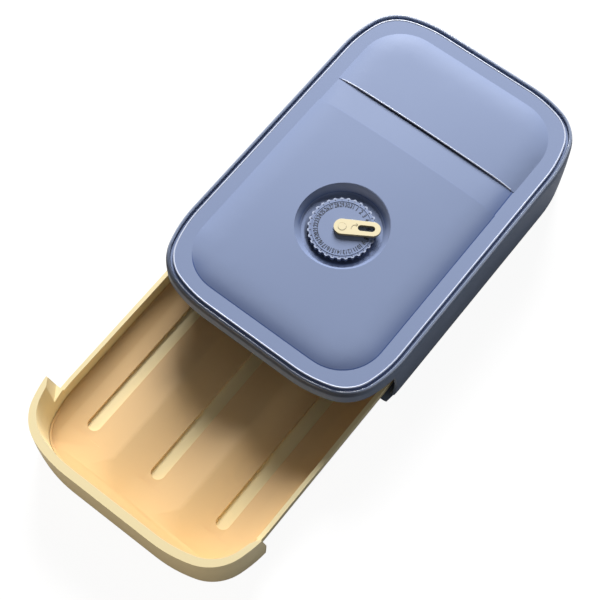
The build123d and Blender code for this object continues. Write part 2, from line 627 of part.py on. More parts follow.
with BuildPart() as egg_rack:
    sheet_low = [(x, z - RACK_SHEET) for x, z in reversed(lane_points())]
    apron_low = KNEE_Z - RACK_SHEET
    with BuildSketch(Plane.XZ.offset(DRAWER_OPEN - lane_start)):
        with BuildLine():
            Polyline(*lane_points(), *sheet_low, close=True)
        make_face()
        mirror(about=Plane.YZ)
    extrude(amount=-(rack_back - lane_start))
    with BuildSketch(Plane.XZ.offset(DRAWER_OPEN - lane_start)):
        with BuildLine():
            Polyline(*lane_points(), (rack_half + 1, apron_low), (0, apron_low), close=True)
        make_face()
        mirror(about=Plane.YZ)
    extrude(amount=NOSE_LENGTH)
    with BuildSketch(Plane.YZ.offset(-CASING_WIDTH)):
        with BuildLine():
            Polyline(
                (lane_start - DRAWER_OPEN, RACK_TOP),
                (lane_start - DRAWER_OPEN - NOSE_LENGTH, KNEE_Z),
                (lane_start - DRAWER_OPEN - BEYOND, KNEE_Z),
                (lane_start - DRAWER_OPEN - BEYOND, RACK_TOP + 1),
                (lane_start - DRAWER_OPEN, RACK_TOP + 1),
                close=True,
            )
        make_face()
    extrude(amount=2 * CASING_WIDTH, mode=Mode.SUBTRACT)
    with BuildSketch(Plane((0, (lane_start + rack_front) / 2 - DRAWER_OPEN, apron_low))):
        Rectangle(2 * rack_half + 2, APRON_LENGTH + 2)
    extrude(amount=RACK_SHEET)
    # Rolling slots with lips that stand on the drawer's floor
    slot_length = rack_back - lane_start - 2 * SLOT_END_GAP
    slot_middle = (rack_back + lane_start) / 2 - DRAWER_OPEN
    with BuildSketch(Plane.XY.offset(DRAWER_FLOOR_TOP)):
        with Locations(*[(lane_x, slot_middle) for lane_x in lane_centres]):
            SlotOverall(slot_length + 2 * RACK_EDGE, SLOT_WIDTH + 2 * RACK_EDGE, rotation=90)
    extrude(amount=SLOT_EDGE_Z - DRAWER_FLOOR_TOP)
    with BuildSketch(Plane.XY.offset(DRAWER_FLOOR_TOP)):
        with Locations(*[(lane_x, slot_middle) for lane_x in lane_centres]):
            SlotOverall(slot_length, SLOT_WIDTH, rotation=90)
    extrude(amount=RACK_TOP, mode=Mode.SUBTRACT)
    add(rack_trim, mode=Mode.INTERSECT)
    add(rack_rim.part)
egg_rack.part.label = "egg_rack"
export_step(egg_rack.part, "parts/egg_rack.step")

# Rubber feet in the recesses of the casing's floor
for foot_name, foot_x, foot_y in (
    ("foot_front_left", -FOOT_X, -FOOT_Y),
    ("foot_front_right", FOOT_X, -FOOT_Y),
    ("foot_back_left", -FOOT_X, FOOT_Y),
    ("foot_back_right", FOOT_X, FOOT_Y),
):
    with BuildPart() as foot:
        with BuildSketch(Plane((foot_x, foot_y, 0))):
            Circle(FOOT_RADIUS)
        extrude(amount=FLOOR_LIFT + FOOT_RECESS)
        chamfer(foot.edges().group_by(Axis.Z)[0], length=0.5)
    foot.part.label = foot_name
    export_step(foot.part, f"parts/{foot_name}.step")
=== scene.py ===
from math import cos, pi, radians, sin

import bmesh
import bpy
from mathutils import Matrix, Vector


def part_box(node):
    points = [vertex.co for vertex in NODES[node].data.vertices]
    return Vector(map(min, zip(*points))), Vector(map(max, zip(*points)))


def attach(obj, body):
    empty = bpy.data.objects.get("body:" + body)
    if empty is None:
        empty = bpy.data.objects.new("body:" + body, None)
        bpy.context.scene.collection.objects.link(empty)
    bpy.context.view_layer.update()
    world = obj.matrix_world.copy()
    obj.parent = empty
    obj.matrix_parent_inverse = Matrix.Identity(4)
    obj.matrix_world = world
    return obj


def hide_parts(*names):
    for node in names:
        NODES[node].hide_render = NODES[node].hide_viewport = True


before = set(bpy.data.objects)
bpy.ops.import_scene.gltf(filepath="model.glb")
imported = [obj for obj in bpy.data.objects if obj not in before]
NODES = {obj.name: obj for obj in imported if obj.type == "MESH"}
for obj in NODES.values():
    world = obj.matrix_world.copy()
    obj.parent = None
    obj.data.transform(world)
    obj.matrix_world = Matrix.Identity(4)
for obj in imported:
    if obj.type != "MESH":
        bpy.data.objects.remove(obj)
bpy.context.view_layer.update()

bl_info = {
    "name": "Egg Keeper Finisher",
    "version": (1, 0, 0),
    "blender": (4, 5, 0),
    "location": "View3D > Sidebar > Egg Keeper",
    "description": "Finishes an egg keeper with a pull-out drawer and a date dial",
    "category": "Object",
}

MILLIMETRE = 0.001

# Places taken from the solids
CASING_LOW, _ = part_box("casing_body")
DIAL_LOW, DIAL_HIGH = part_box("date_dial")
PIN_LOW, PIN_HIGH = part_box("dial_axle")
DIAL_CENTRE = (DIAL_LOW + DIAL_HIGH) / 2
DIAL_RADIUS = DIAL_HIGH.x - DIAL_CENTRE.x
PIVOT = Vector(((PIN_LOW.x + PIN_HIGH.x) / 2, (PIN_LOW.y + PIN_HIGH.y) / 2, PIN_HIGH.z))
TRACK_RISE = 0.4 * MILLIMETRE  # the ring on the dial stands this far above its face
DIAL_FACE = DIAL_HIGH.z - TRACK_RISE
RIM_LEVEL = 68.0 * MILLIMETRE  # the cover's flat rim
STEP_LEVEL = 72.0 * MILLIMETRE  # the step across the cover lies this far behind the middle
STEP_HALF_LENGTH = 88.0 * MILLIMETRE
WELL_CLEAR = 45.0 * MILLIMETRE  # the dial's well lies inside this distance of its middle

# Rounded copies of solids, and beads on their edges
MERGE_DISTANCE = 0.001 * MILLIMETRE
SAME_LEVEL = 10 * MERGE_DISTANCE  # vertices within this of a level lie on it
FLAT_ANGLE = radians(0.5)  # faces that meet at less than this become one
ROUND_ANGLE = radians(50.0)  # edges sharper than this are rounded
SHARP_ANGLE = radians(40.0)  # edges sharper than this are shaded as edges
BEAD_DEPTH = 0.35 * MILLIMETRE  # a bead's middle lies this far inside the face that carries it
BEAD_SIDES = 10
STEP_BEAD_SHARE = 0.75  # the step's bead beside the rim's

# Raised marks
SINK = 0.05 * MILLIMETRE  # raised marks start this far inside what carries them
NUMBER_BOLDNESS = 0.06 * MILLIMETRE  # how much each stroke of a number is widened
NUMBER_TEXT_SIZE = 1.35  # text size beside the height of its figures
NUMBER_NARROWING = 0.74
MARK_WIDTH = 0.6 * MILLIMETRE
MARK_RELIEF = 0.2 * MILLIMETRE
# The half ring, in the marks' darker colour, is a painted shadow line at the pin's edge
HALF_RING_TURNS = range(-175, 6, 12)  # degrees
ARROW_SHAFT = ((7.4, -1.6), (7.6, 0.2), (8.4, 1.5), (9.8, 2.3), (12.4, 2.5))  # from the pin, in mm
ARROW_HEAD = ((11.1, 3.7), (12.6, 2.5), (11.1, 1.3))

# Wear, painted highlights and painted shade in the materials
EDGE_SMOOTHING = 0.12  # how much smoother a polished edge is than the face beside it
# Painted shade under the cover's step
STEP_SHADE_WIDTH = 1.5 * MILLIMETRE
STEP_SHADE_ENDS = (1.25, 0.75)  # shares of that width where the painted shade starts and is full
LEAN_ENDS = (0.40, 0.65)  # upward part of a face's normal where its painted highlight and gloss start and are full
FLATNESS_FADE = 0.03  # how far under its level of flatness an edge gets its painted highlight and gloss in full
UPRIGHT_ENDS = (0.45, 0.10)  # upward part of a face's normal where a flank's painted shade starts and is full
FOOT_LINE = 0.45 * MILLIMETRE  # height of the painted shade line at the dome's foot
FOOT_FADE = 4.0 * MILLIMETRE  # height in which the painted shade on the dome's slope above it fades
FOOT_SLOPE_SHARE = 0.45
FOOT_SIDE_SHARE = 0.7  # how much a lean to the right counts beside a lean to the front
FOOT_LEAN_GAIN = 9.0
# Where the painted shade on the casing's front lip lies, along Y and in height
LIP_SHADE_DEPTHS = (CASING_LOW.y + 38.0 * MILLIMETRE, CASING_LOW.y + 10.0 * MILLIMETRE)
LIP_SHADE_LEVELS = (RIM_LEVEL - 5.0 * MILLIMETRE, RIM_LEVEL - 3.0 * MILLIMETRE)
# Where the dial's painted shadow on the well's floor lies
WELL_SHADE_ENDS = (DIAL_RADIUS + 3.5 * MILLIMETRE, DIAL_RADIUS + 1.5 * MILLIMETRE)
WELL_SHADE_TURNS = (0.1, -0.7)  # sine of the direction from the pin where the painted shadow starts and is full
# Width of the painted highlight at the dial's rim
DIAL_RIM_WIDTH = 2.2 * MILLIMETRE

# Sockets of a Mix node that mixes colours
MIX_FACTOR, MIX_FIRST, MIX_SECOND, MIX_RESULT = 0, 6, 7, 2

FLOOR_HALF = 6.0
LAMP_TARGET = Vector((0.0, -0.05, 0.04))


# ---------------------------------------------------------------- settings


def colour_setting(name, description, default):
    return bpy.props.FloatVectorProperty(
        name=name, description=description, subtype="COLOR", size=4, min=0.0, max=1.0, default=(*default, 1.0)
    )


def length_setting(name, description, default, low, high):
    """A length, given in millimetres."""
    return bpy.props.FloatProperty(
        name=name,
        description=description,
        subtype="DISTANCE",
        unit="LENGTH",
        default=default * MILLIMETRE,
        min=low * MILLIMETRE,
        max=high * MILLIMETRE,
    )


def share_setting(name, description, default):
    return bpy.props.FloatProperty(
        name=name, description=description, subtype="FACTOR", default=default, min=0.0, max=1.0
    )


def angle_setting(name, description, default):
    """An angle, given in degrees."""
    return bpy.props.FloatProperty(
        name=name, description=description, subtype="ANGLE", unit="ROTATION", default=radians(default)
    )


def power_setting(name, description, default):
    return bpy.props.FloatProperty(name=name, description=description, unit="POWER", default=default, min=0.0)


class EggKeeperShellSettings(bpy.types.PropertyGroup):
    casing_colour: colour_setting("Casing colour", "Colour of the moulded casing", (0.160, 0.205, 0.310))
    cover_colour: colour_setting(
        "Cover colour", "Colour of the domed cover and the dial", (0.250, 0.309, 0.482)
    )
    # The pale edge colour is a painted highlight along rounded edges and beads
    edge_colour: colour_setting(
        "Edge colour", "Paler colour of the handled, rounded edges of the blue parts", (0.680, 0.740, 0.900)
    )
    # Painted shade under the cover's step and on the front lip, and the dial's painted shadow in its well
    shadow_colour: colour_setting(
        "Shade colour",
        "Colour under the cover's step, beside the dial and on the front lip",
        (0.020, 0.028, 0.055),
    )
    # Painted shade in the crease at the dome's foot and on the slope above it
    crease_colour: colour_setting(
        "Crease colour", "Colour of the crease at the dome's foot", (0.040, 0.090, 0.300)
    )
    bead_radius: length_setting(
        "Bead radius", "Radius of the fine bead along the cover's rim", 0.75, 0.1, 3.0
    )
    bead_inset: length_setting(
        "Bead inset", "How far the bead's middle lies inside the end of the flat rim", -0.4, -1.0, 10.0
    )
    grain_size: length_setting(
        "Grain size", "Size of the fine texture of the moulded plastic", 0.6, 0.1, 10.0
    )
    roughness: share_setting("Roughness", "How matt the blue plastic is", 0.48)


class EggKeeperDrawerSettings(bpy.types.PropertyGroup):
    tray_colour: colour_setting("Tray colour", "Colour of the drawer", (0.965, 0.820, 0.480))
    rack_colour: colour_setting("Rack colour", "Colour of the egg rack in the drawer", (0.800, 0.540, 0.270))
    edge_round: length_setting("Tray edge round", "Rounding of the tray's edges", 0.7, 0.0, 3.0)
    rack_round: length_setting("Rack edge round", "Rounding of the rack's edges", 0.7, 0.0, 3.0)
    roughness: share_setting("Roughness", "How matt the cream plastic is", 0.38)


class EggKeeperDialSettings(bpy.types.PropertyGroup):
    days: bpy.props.IntProperty(
        name="Days", description="How many numbers go round the dial", default=31, min=4, max=60
    )
    number_height: length_setting("Number height", "Height of a number on the dial", 4.1, 1.0, 10.0)
    number_ring: length_setting(
        "Number ring", "Radius of the ring of numbers, at the middle of their height", 21.5, 5.0, 50.0
    )
    number_relief: length_setting(
        "Number relief", "How far the numbers stand out of the dial", 0.22, 0.01, 1.0
    )
    tick_ring: length_setting(
        "Tick ring", "Radius of the ring of fine ticks inside the teeth, at their middle", 26.2, 5.0, 50.0
    )
    tick_length: length_setting("Tick length", "Length of a tick, outwards from the pin", 1.4, 0.2, 10.0)
    tick_width: length_setting("Tick width", "Width of a tick", 0.45, 0.1, 2.0)
    pointer_colour: colour_setting(
        "Pointer colour", "Colour of the pointer and its pin", (0.860, 0.760, 0.500)
    )
    pointer_turn: angle_setting(
        "Pointer turn", "Direction of the pointer's tip, turned from the box's width", 31.6
    )
    edge_round: length_setting(
        "Edge round", "Rounding of the edges of the dial and the pointer", 0.25, 0.0, 1.0
    )
    # Painted shade on the upright flanks of the dial
    grime_colour: colour_setting(
        "Grime colour", "Colour of the grime in the flutes of the dial", (0.012, 0.018, 0.040)
    )
    pivot_ring: length_setting("Pivot ring", "Radius of the raised half ring round the pin", 3.4, 1.0, 20.0)


class EggKeeperStageSettings(bpy.types.PropertyGroup):
    camera_turn: angle_setting(
        "Camera turn", "Direction the camera looks in, turned from the drawer's line", 38.06
    )
    camera_tilt: angle_setting("Camera tilt", "Angle of the camera's view below the horizon", 64.86)
    camera_place: bpy.props.FloatVectorProperty(
        name="Camera place",
        description="Where the camera stands",
        subtype="XYZ",
        unit="LENGTH",
        size=3,
        default=(0.3463, -0.5398, 1.2228),
    )
    lens: bpy.props.FloatProperty(
        name="Lens",
        description="Focal length of the camera, in millimetres on a 36 mm wide sensor",
        default=96.0,
        min=10.0,
        max=400.0,
    )
    key_power: power_setting("Key lamp", "Power of the large lamp at the back left", 212.0)
    front_power: power_setting(
        "Front strip",
        "Power of the low strip lamp in front, which draws the light along the front edges",
        4.5,
    )
    side_power: power_setting(
        "Side strip", "Power of the strip lamp at the right, which draws the light along the right edges", 1.6
    )
    fill_strength: bpy.props.FloatProperty(
        name="Fill", description="Strength of the even light from all round", default=0.11, min=0.0, max=5.0
    )
    gloss_share: share_setting(
        "Gloss share", "How much of the white surroundings the glossy faces mirror", 0.1
    )
    floor_colour: colour_setting(
        "Floor colour", "Colour of the floor that the lamps light and shade", (0.15, 0.15, 0.15)
    )
    floor_bounce: colour_setting(
        "Floor bounce", "Colour of the floor as the object is lit by it", (0.42, 0.41, 0.40)
    )
    floor_lift: share_setting(
        "Floor lift", "How far the floor is lifted towards white where it is seen", 0.93
    )


# ---------------------------------------------------------------- shader groups


def new_group(name, inputs, outputs, kind="ShaderNodeTree"):
    """An empty node group with named outputs and with named inputs, which may have a default."""
    tree = bpy.data.node_groups.new(name, kind)
    for title, socket_type, *default in inputs:
        socket = tree.interface.new_socket(title, in_out="INPUT", socket_type=socket_type)
        if default:
            socket.default_value = default[0]
    for title, socket_type in outputs:
        tree.interface.new_socket(title, in_out="OUTPUT", socket_type=socket_type)
    return tree, tree.nodes.new("NodeGroupInput"), tree.nodes.new("NodeGroupOutput")


def feed(tree, value, socket):
    """Links an output to an input socket, or sets the input to a value."""
    if isinstance(value, bpy.types.NodeSocket):
        tree.links.new(value, socket)
    else:
        socket.default_value = value


def math_node(tree, operation, first, second=0.0, clamp=False):
    """A Math node fed by sockets or numbers; gives its output."""
    node = tree.nodes.new("ShaderNodeMath")
    node.operation = operation
    node.use_clamp = clamp
    feed(tree, first, node.inputs[0])
    feed(tree, second, node.inputs[1])
    return node.outputs[0]


def product(tree, first, *others):
    """The product of sockets and numbers."""
    for other in others:
        first = math_node(tree, "MULTIPLY", first, other)
    return first


def soft_step(tree, value, start, end):
    """0 up to start, 1 from end on and smooth between; end may lie below start."""
    node = tree.nodes.new("ShaderNodeMapRange")
    node.interpolation_type = "SMOOTHSTEP"
    node.inputs["From Min"].default_value = start
    node.inputs["From Max"].default_value = end
    feed(tree, value, node.inputs["Value"])
    return node.outputs["Result"]


def colour_mix(tree, factor, first, second):
    """Mixes two colours, each a socket or a value; gives the output socket."""
    mix = tree.nodes.new("ShaderNodeMix")
    mix.data_type = "RGBA"
    feed(tree, factor, mix.inputs[MIX_FACTOR])
    feed(tree, first, mix.inputs[MIX_FIRST])
    feed(tree, second, mix.inputs[MIX_SECOND])
    return mix.outputs[MIX_RESULT]


def place_parts(tree, kind="Object"):
    """The X, Y and Z sockets of the place on the object, or of its normal."""
    place = tree.nodes.new("ShaderNodeTexCoord")
    parts = tree.nodes.new("ShaderNodeSeparateXYZ")
    feed(tree, place.outputs[kind], parts.inputs["Vector"])
    return parts.outputs


def pin_distance(tree):
    """How far a place on the object is from the dial's axis."""
    place = place_parts(tree)
    flat = tree.nodes.new("ShaderNodeCombineXYZ")
    feed(tree, place["X"], flat.inputs["X"])
    feed(tree, place["Y"], flat.inputs["Y"])
    away = tree.nodes.new("ShaderNodeVectorMath")
    away.operation = "DISTANCE"
    away.inputs[1].default_value = (DIAL_CENTRE.x, DIAL_CENTRE.y, 0.0)
    feed(tree, flat.outputs["Vector"], away.inputs[0])
    return away.outputs["Value"]


def noise(tree, scale, **values):
    """A noise over the object, at a scale that is a socket or a number."""
    node = tree.nodes.new("ShaderNodeTexNoise")
    place = tree.nodes.new("ShaderNodeTexCoord")
    feed(tree, place.outputs["Object"], node.inputs["Vector"])
    feed(tree, scale, node.inputs["Scale"])
    for title, value in values.items():
        node.inputs[title].default_value = value
    return node.outputs["Fac"]


def moulded_grain_group():
    """Fine spark-eroded grain of a moulded face, with faint flow marks, as a height."""
    tree, inlet, outlet = new_group(
        "moulded_grain",
        [
            ("Grain Scale", "NodeSocketFloat", 1600.0),
            ("Flow Scale", "NodeSocketFloat", 14.0),
            ("Flow Share", "NodeSocketFloat", 0.35),
        ],
        [("Height", "NodeSocketFloat")],
    )
    grain = noise(tree, inlet.outputs["Grain Scale"], Detail=3.0, Roughness=0.55)
    flow = noise(tree, inlet.outputs["Flow Scale"], Detail=2.0, Roughness=0.4)
    height = math_node(tree, "ADD", grain, product(tree, flow, inlet.outputs["Flow Share"]))
    feed(tree, height, outlet.inputs["Height"])
    return tree


def plastic_tone_group():
    """Slight unevenness of colour and gloss of a handled plastic part."""
    tree, inlet, outlet = new_group(
        "plastic_tone",
        [
            ("Colour", "NodeSocketColor", (0.5, 0.5, 0.5, 1.0)),
            ("Shade", "NodeSocketColor", (0.4, 0.4, 0.4, 1.0)),
            ("Roughness", "NodeSocketFloat", 0.4),
            ("Patch Scale", "NodeSocketFloat", 22.0),
            ("Tone Share", "NodeSocketFloat", 0.12),
            ("Gloss Share", "NodeSocketFloat", 0.06),
        ],
        [("Colour", "NodeSocketColor"), ("Roughness", "NodeSocketFloat")],
    )
    patches = noise(tree, inlet.outputs["Patch Scale"], Detail=4.0, Roughness=0.5)
    smears = noise(tree, 90.0, Detail=5.0, Distortion=0.6)
    share = product(tree, patches, inlet.outputs["Tone Share"])
    toned = colour_mix(tree, share, inlet.outputs["Colour"], inlet.outputs["Shade"])
    centred = math_node(tree, "SUBTRACT", smears, 0.5)
    gloss = product(tree, centred, inlet.outputs["Gloss Share"])
    rough = math_node(tree, "ADD", gloss, inlet.outputs["Roughness"], clamp=True)
    feed(tree, toned, outlet.inputs["Colour"])
    feed(tree, rough, outlet.inputs["Roughness"])
    return tree

def polished_edge_group():
    """Masks thinned by wear noise: of rounded edges outside a clear circle, for a painted highlight and more
    gloss, and of upright flanks, for painted shade.
    """
    tree, inlet, outlet = new_group(
        "edge_sheen_and_flank_shade",
        [
            ("Centre", "NodeSocketVector", (0.0, 0.0, 0.0)),
            ("Clear Radius", "NodeSocketFloat", 0.0),
            ("Level", "NodeSocketFloat", 0.955),
            ("Wear Scale", "NodeSocketFloat", 60.0),
            ("Wear Share", "NodeSocketFloat", 0.25),
        ],
        [("Mask", "NodeSocketFloat"), ("Upright", "NodeSocketFloat")],
    )
    place = tree.nodes.new("ShaderNodeTexCoord")
    rise = place_parts(tree, "Normal")
    leans = soft_step(tree, rise["Z"], *LEAN_ENDS)
    short = math_node(tree, "SUBTRACT", inlet.outputs["Level"], rise["Z"])
    lies = soft_step(tree, short, 0.0, FLATNESS_FADE)
    away = tree.nodes.new("ShaderNodeVectorMath")
    away.operation = "DISTANCE"
    feed(tree, place.outputs["Object"], away.inputs[0])
    feed(tree, inlet.outputs["Centre"], away.inputs[1])
    outside = math_node(tree, "GREATER_THAN", away.outputs["Value"], inlet.outputs["Clear Radius"])
    wear = noise(tree, inlet.outputs["Wear Scale"], Detail=3.0)
    lost = product(tree, wear, inlet.outputs["Wear Share"])
    kept = math_node(tree, "SUBTRACT", 1.0, lost)
    edge = product(tree, leans, lies, outside)
    feed(tree, math_node(tree, "MULTIPLY", edge, kept, clamp=True), outlet.inputs["Mask"])
    upright = soft_step(tree, rise["Z"], *UPRIGHT_ENDS)
    feed(tree, math_node(tree, "MULTIPLY", upright, kept, clamp=True), outlet.inputs["Upright"])
    return tree


def group_node(tree, name, values):
    """A node with a shader group, built the first time it is asked for, and values for its inputs."""
    builders = {
        "moulded_grain": moulded_grain_group,
        "plastic_tone": plastic_tone_group,
        "edge_sheen_and_flank_shade": polished_edge_group,
    }
    node = tree.nodes.new("ShaderNodeGroup")
    node.node_tree = bpy.data.node_groups.get(name) or builders[name]()
    for title, value in values.items():
        node.inputs[title].default_value = value
    return node


def toned_material(name, values):
    """A material whose colour and gloss are slightly uneven; gives it with its shader."""
    material = bpy.data.materials.new(name)
    material.use_nodes = True
    tree = material.node_tree
    shader = tree.nodes["Principled BSDF"]
    look = group_node(tree, "plastic_tone", values)
    feed(tree, look.outputs["Colour"], shader.inputs["Base Color"])
    feed(tree, look.outputs["Roughness"], shader.inputs["Roughness"])
    return material, shader


def plastic(
    name,
    colour,
    shade,
    roughness,
    grain_scale=1900.0,
    grain_depth=0.03 * MILLIMETRE,
    coat=0.0,
    specular=0.5,
    tone=0.12,
):
    """A moulded plastic: gloss and tone, darker in patches by a share, over a fine grain."""
    look = {"Colour": colour, "Shade": darker(colour, shade), "Roughness": roughness, "Tone Share": tone}
    material, shader = toned_material(name, look)
    tree = material.node_tree
    shader.inputs["Specular IOR Level"].default_value = specular
    shader.inputs["Coat Weight"].default_value = coat
    shader.inputs["Coat Roughness"].default_value = 0.12
    grain = group_node(tree, "moulded_grain", {"Grain Scale": grain_scale})
    bump = tree.nodes.new("ShaderNodeBump")
    bump.inputs["Strength"].default_value = 0.35
    bump.inputs["Distance"].default_value = grain_depth
    feed(tree, grain.outputs["Height"], bump.inputs["Height"])
    feed(tree, bump.outputs["Normal"], shader.inputs["Normal"])
    material.diffuse_color = colour
    return material


def polish_edges(material, pale, share, clear_radius=0.0, level=0.94):
    """Paints a highlight on the rounded edges of a plastic as a paler colour, and makes them glossier, up to
    a level of flatness.
    """
    tree = material.node_tree
    shader = tree.nodes["Principled BSDF"]
    values = {"Centre": DIAL_CENTRE, "Clear Radius": clear_radius, "Level": level}
    edge = group_node(tree, "edge_sheen_and_flank_shade", values)
    mask = edge.outputs["Mask"]
    blend_colour(material, mask, share, pale)
    rough = shader.inputs["Roughness"].links[0].from_socket
    smoother = product(tree, mask, -EDGE_SMOOTHING)
    feed(tree, math_node(tree, "ADD", rough, smoother, clamp=True), shader.inputs["Roughness"])
    feed(tree, mask, shader.inputs["Coat Weight"])


def grime_flanks(material, dark, share):
    """Paints shade, as a darker colour, on the upright flanks of a small plastic part."""
    edge = group_node(material.node_tree, "edge_sheen_and_flank_shade", {})
    blend_colour(material, edge.outputs["Upright"], share, dark)


def polish_rim(material, pale, share):
    """Paints a highlight on the dial towards its rim, as a paler colour."""
    tree = material.node_tree
    mask = soft_step(tree, pin_distance(tree), DIAL_RADIUS - DIAL_RIM_WIDTH, DIAL_RADIUS)
    blend_colour(material, mask, share, pale)


def blend_colour(material, mask, share, colour):
    """Mixes a colour over what feeds Base Color, by a share of a mask."""
    tree = material.node_tree
    base = tree.nodes["Principled BSDF"].inputs["Base Color"]
    factor = product(tree, mask, share)
    feed(tree, colour_mix(tree, factor, base.links[0].from_socket, colour), base)


def shade_step(material, dark, share):
    """Paints shade in the corner under the cover's step, less towards its ends."""
    tree = material.node_tree
    place = place_parts(tree)
    across = math_node(tree, "DIVIDE", math_node(tree, "ABSOLUTE", place["X"]), STEP_HALF_LENGTH)
    fade = math_node(tree, "SUBTRACT", 1.0, math_node(tree, "POWER", across, 3.0), clamp=True)
    width = math_node(tree, "MAXIMUM", product(tree, fade, STEP_SHADE_WIDTH), 0.01 * MILLIMETRE)
    ahead = math_node(tree, "SUBTRACT", STEP_LEVEL, place["Y"])
    near = soft_step(tree, math_node(tree, "DIVIDE", ahead, width), *STEP_SHADE_ENDS)
    below = math_node(tree, "GREATER_THAN", ahead, -MERGE_DISTANCE)
    blend_colour(material, product(tree, near, below, fade), share, dark)


def shade_foot(material, dark, share):
    """Paints shade in the crease at the dome's foot, and on the slope over it, where they face front or
    right.
    """
    tree = material.node_tree
    place = place_parts(tree)
    normal = place_parts(tree, "Normal")
    aside = product(tree, normal["X"], FOOT_SIDE_SHARE)
    lean = math_node(tree, "SUBTRACT", aside, normal["Y"])
    toward = math_node(tree, "MULTIPLY", lean, FOOT_LEAN_GAIN, clamp=True)
    line = soft_step(tree, place["Z"], RIM_LEVEL + FOOT_LINE, RIM_LEVEL + 0.5 * FOOT_LINE)
    slope = product(tree, soft_step(tree, place["Z"], RIM_LEVEL + FOOT_FADE, RIM_LEVEL), FOOT_SLOPE_SHARE)
    above = math_node(tree, "GREATER_THAN", place["Z"], RIM_LEVEL + 0.02 * MILLIMETRE)
    ahead = math_node(tree, "GREATER_THAN", STEP_LEVEL - 0.5 * MILLIMETRE, place["Y"])
    deepest = math_node(tree, "MAXIMUM", line, slope)
    blend_colour(material, product(tree, deepest, toward, above, ahead), share, dark)


def shade_lip(material, dark, share):
    """Paints shade on the top of the casing's front edge."""
    tree = material.node_tree
    place = place_parts(tree)
    ahead = soft_step(tree, place["Y"], *LIP_SHADE_DEPTHS)
    high = soft_step(tree, place["Z"], *LIP_SHADE_LEVELS)
    blend_colour(material, product(tree, ahead, high), share, dark)


def shade_well(material, dark, share):
    """Paints the dial's shadow on the well's floor beside the front of the dial."""
    tree = material.node_tree
    reach = pin_distance(tree)
    near = soft_step(tree, reach, *WELL_SHADE_ENDS)
    ahead = math_node(tree, "SUBTRACT", place_parts(tree)["Y"], DIAL_CENTRE.y)
    side = math_node(tree, "DIVIDE", ahead, math_node(tree, "MAXIMUM", reach, MILLIMETRE))
    blend_colour(material, product(tree, near, soft_step(tree, side, *WELL_SHADE_TURNS)), share, dark)


def darker(colour, share):
    """The same colour, darker by a share."""
    return tuple(channel * share for channel in colour[:3]) + (1.0,)


def lighter(colour, share):
    """The same colour, a share of the way to white."""
    return tuple(channel + (1.0 - channel) * share for channel in colour[:3]) + (1.0,)


def dress(node_name, material):
    """Gives a CAD node a material."""
    mesh_object = NODES[node_name]
    if not mesh_object.material_slots:
        mesh_object.data.materials.append(material)
    for holder in mesh_object.material_slots:
        holder.material = material


# ---------------------------------------------------------------- operators


class EggKeeperFinishCasing(bpy.types.Operator):
    """Give the casing its smooth blue plastic"""

    bl_idname = "egg_keeper.finish_casing"
    bl_label = "Finish casing"

    def execute(self, context):
        shell = context.scene.egg_keeper_shell
        blue = plastic(
            "casing_plastic",
            shell.casing_colour,
            shade=0.8,
            roughness=shell.roughness,
            grain_scale=1.0 / shell.grain_size,
            grain_depth=0.04 * MILLIMETRE,
            specular=0.25,
        )
        # Painted highlight: paler colour on the rounded edges, which are also glossier
        polish_edges(blue, shell.edge_colour, 0.4, level=0.995)
        # Painted shade on the casing's front lip
        shade_lip(blue, shell.shadow_colour, 0.8)
        dress("casing_body", blue)
        return {"FINISHED"}


class EggKeeperFinishCover(bpy.types.Operator):
    """Give the domed cover its satin blue plastic"""

    bl_idname = "egg_keeper.finish_cover"
    bl_label = "Finish cover"

    def execute(self, context):
        shell = context.scene.egg_keeper_shell
        blue = plastic(
            "cover_plastic",
            shell.cover_colour,
            shade=0.85,
            roughness=shell.roughness,
            grain_scale=1.0 / shell.grain_size,
            grain_depth=0.05 * MILLIMETRE,
            specular=0.12,
        )
        # Painted highlight: paler colour on the rounded edges, which are also glossier
        polish_edges(blue, shell.edge_colour, 0.85, clear_radius=WELL_CLEAR)
        # Painted shade under the cover's step
        shade_step(blue, shell.shadow_colour, 0.9)
        # Painted shade at the dome's foot and on its front and right slopes
        shade_foot(blue, shell.crease_colour, 0.8)
        # Painted shadow of the dial on the well's floor
        shade_well(blue, shell.shadow_colour, 0.85)
        dress("top_cover", blue)
        return {"FINISHED"}


class EggKeeperFinishDrawer(bpy.types.Operator):
    """Give the drawer and the egg rack their cream plastic"""

    bl_idname = "egg_keeper.finish_drawer"
    bl_label = "Finish drawer"

    def execute(self, context):
        drawer = context.scene.egg_keeper_drawer
        tray, rack = drawer.tray_colour, drawer.rack_colour
        tray_plastic = plastic(
            "tray_plastic",
            tray,
            shade=0.85,
            roughness=drawer.roughness,
            grain_scale=1500.0,
            grain_depth=0.04 * MILLIMETRE,
        )
        rack_plastic = plastic(
            "rack_plastic",
            rack,
            shade=0.85,
            roughness=drawer.roughness + 0.05,
            grain_scale=1300.0,
            grain_depth=0.05 * MILLIMETRE,
        )
        # Painted highlights: paler colour on the rounded edges, which are also glossier
        polish_edges(tray_plastic, lighter(tray, 0.5), 0.5)
        polish_edges(rack_plastic, lighter(rack, 0.3), 0.35)
        rounded_copy("drawer_tray", "tray_rounded", drawer.edge_round, tray_plastic, "drawer")
        rounded_copy("egg_rack", "rack_rounded", drawer.rack_round, rack_plastic, "drawer")
        return {"FINISHED"}


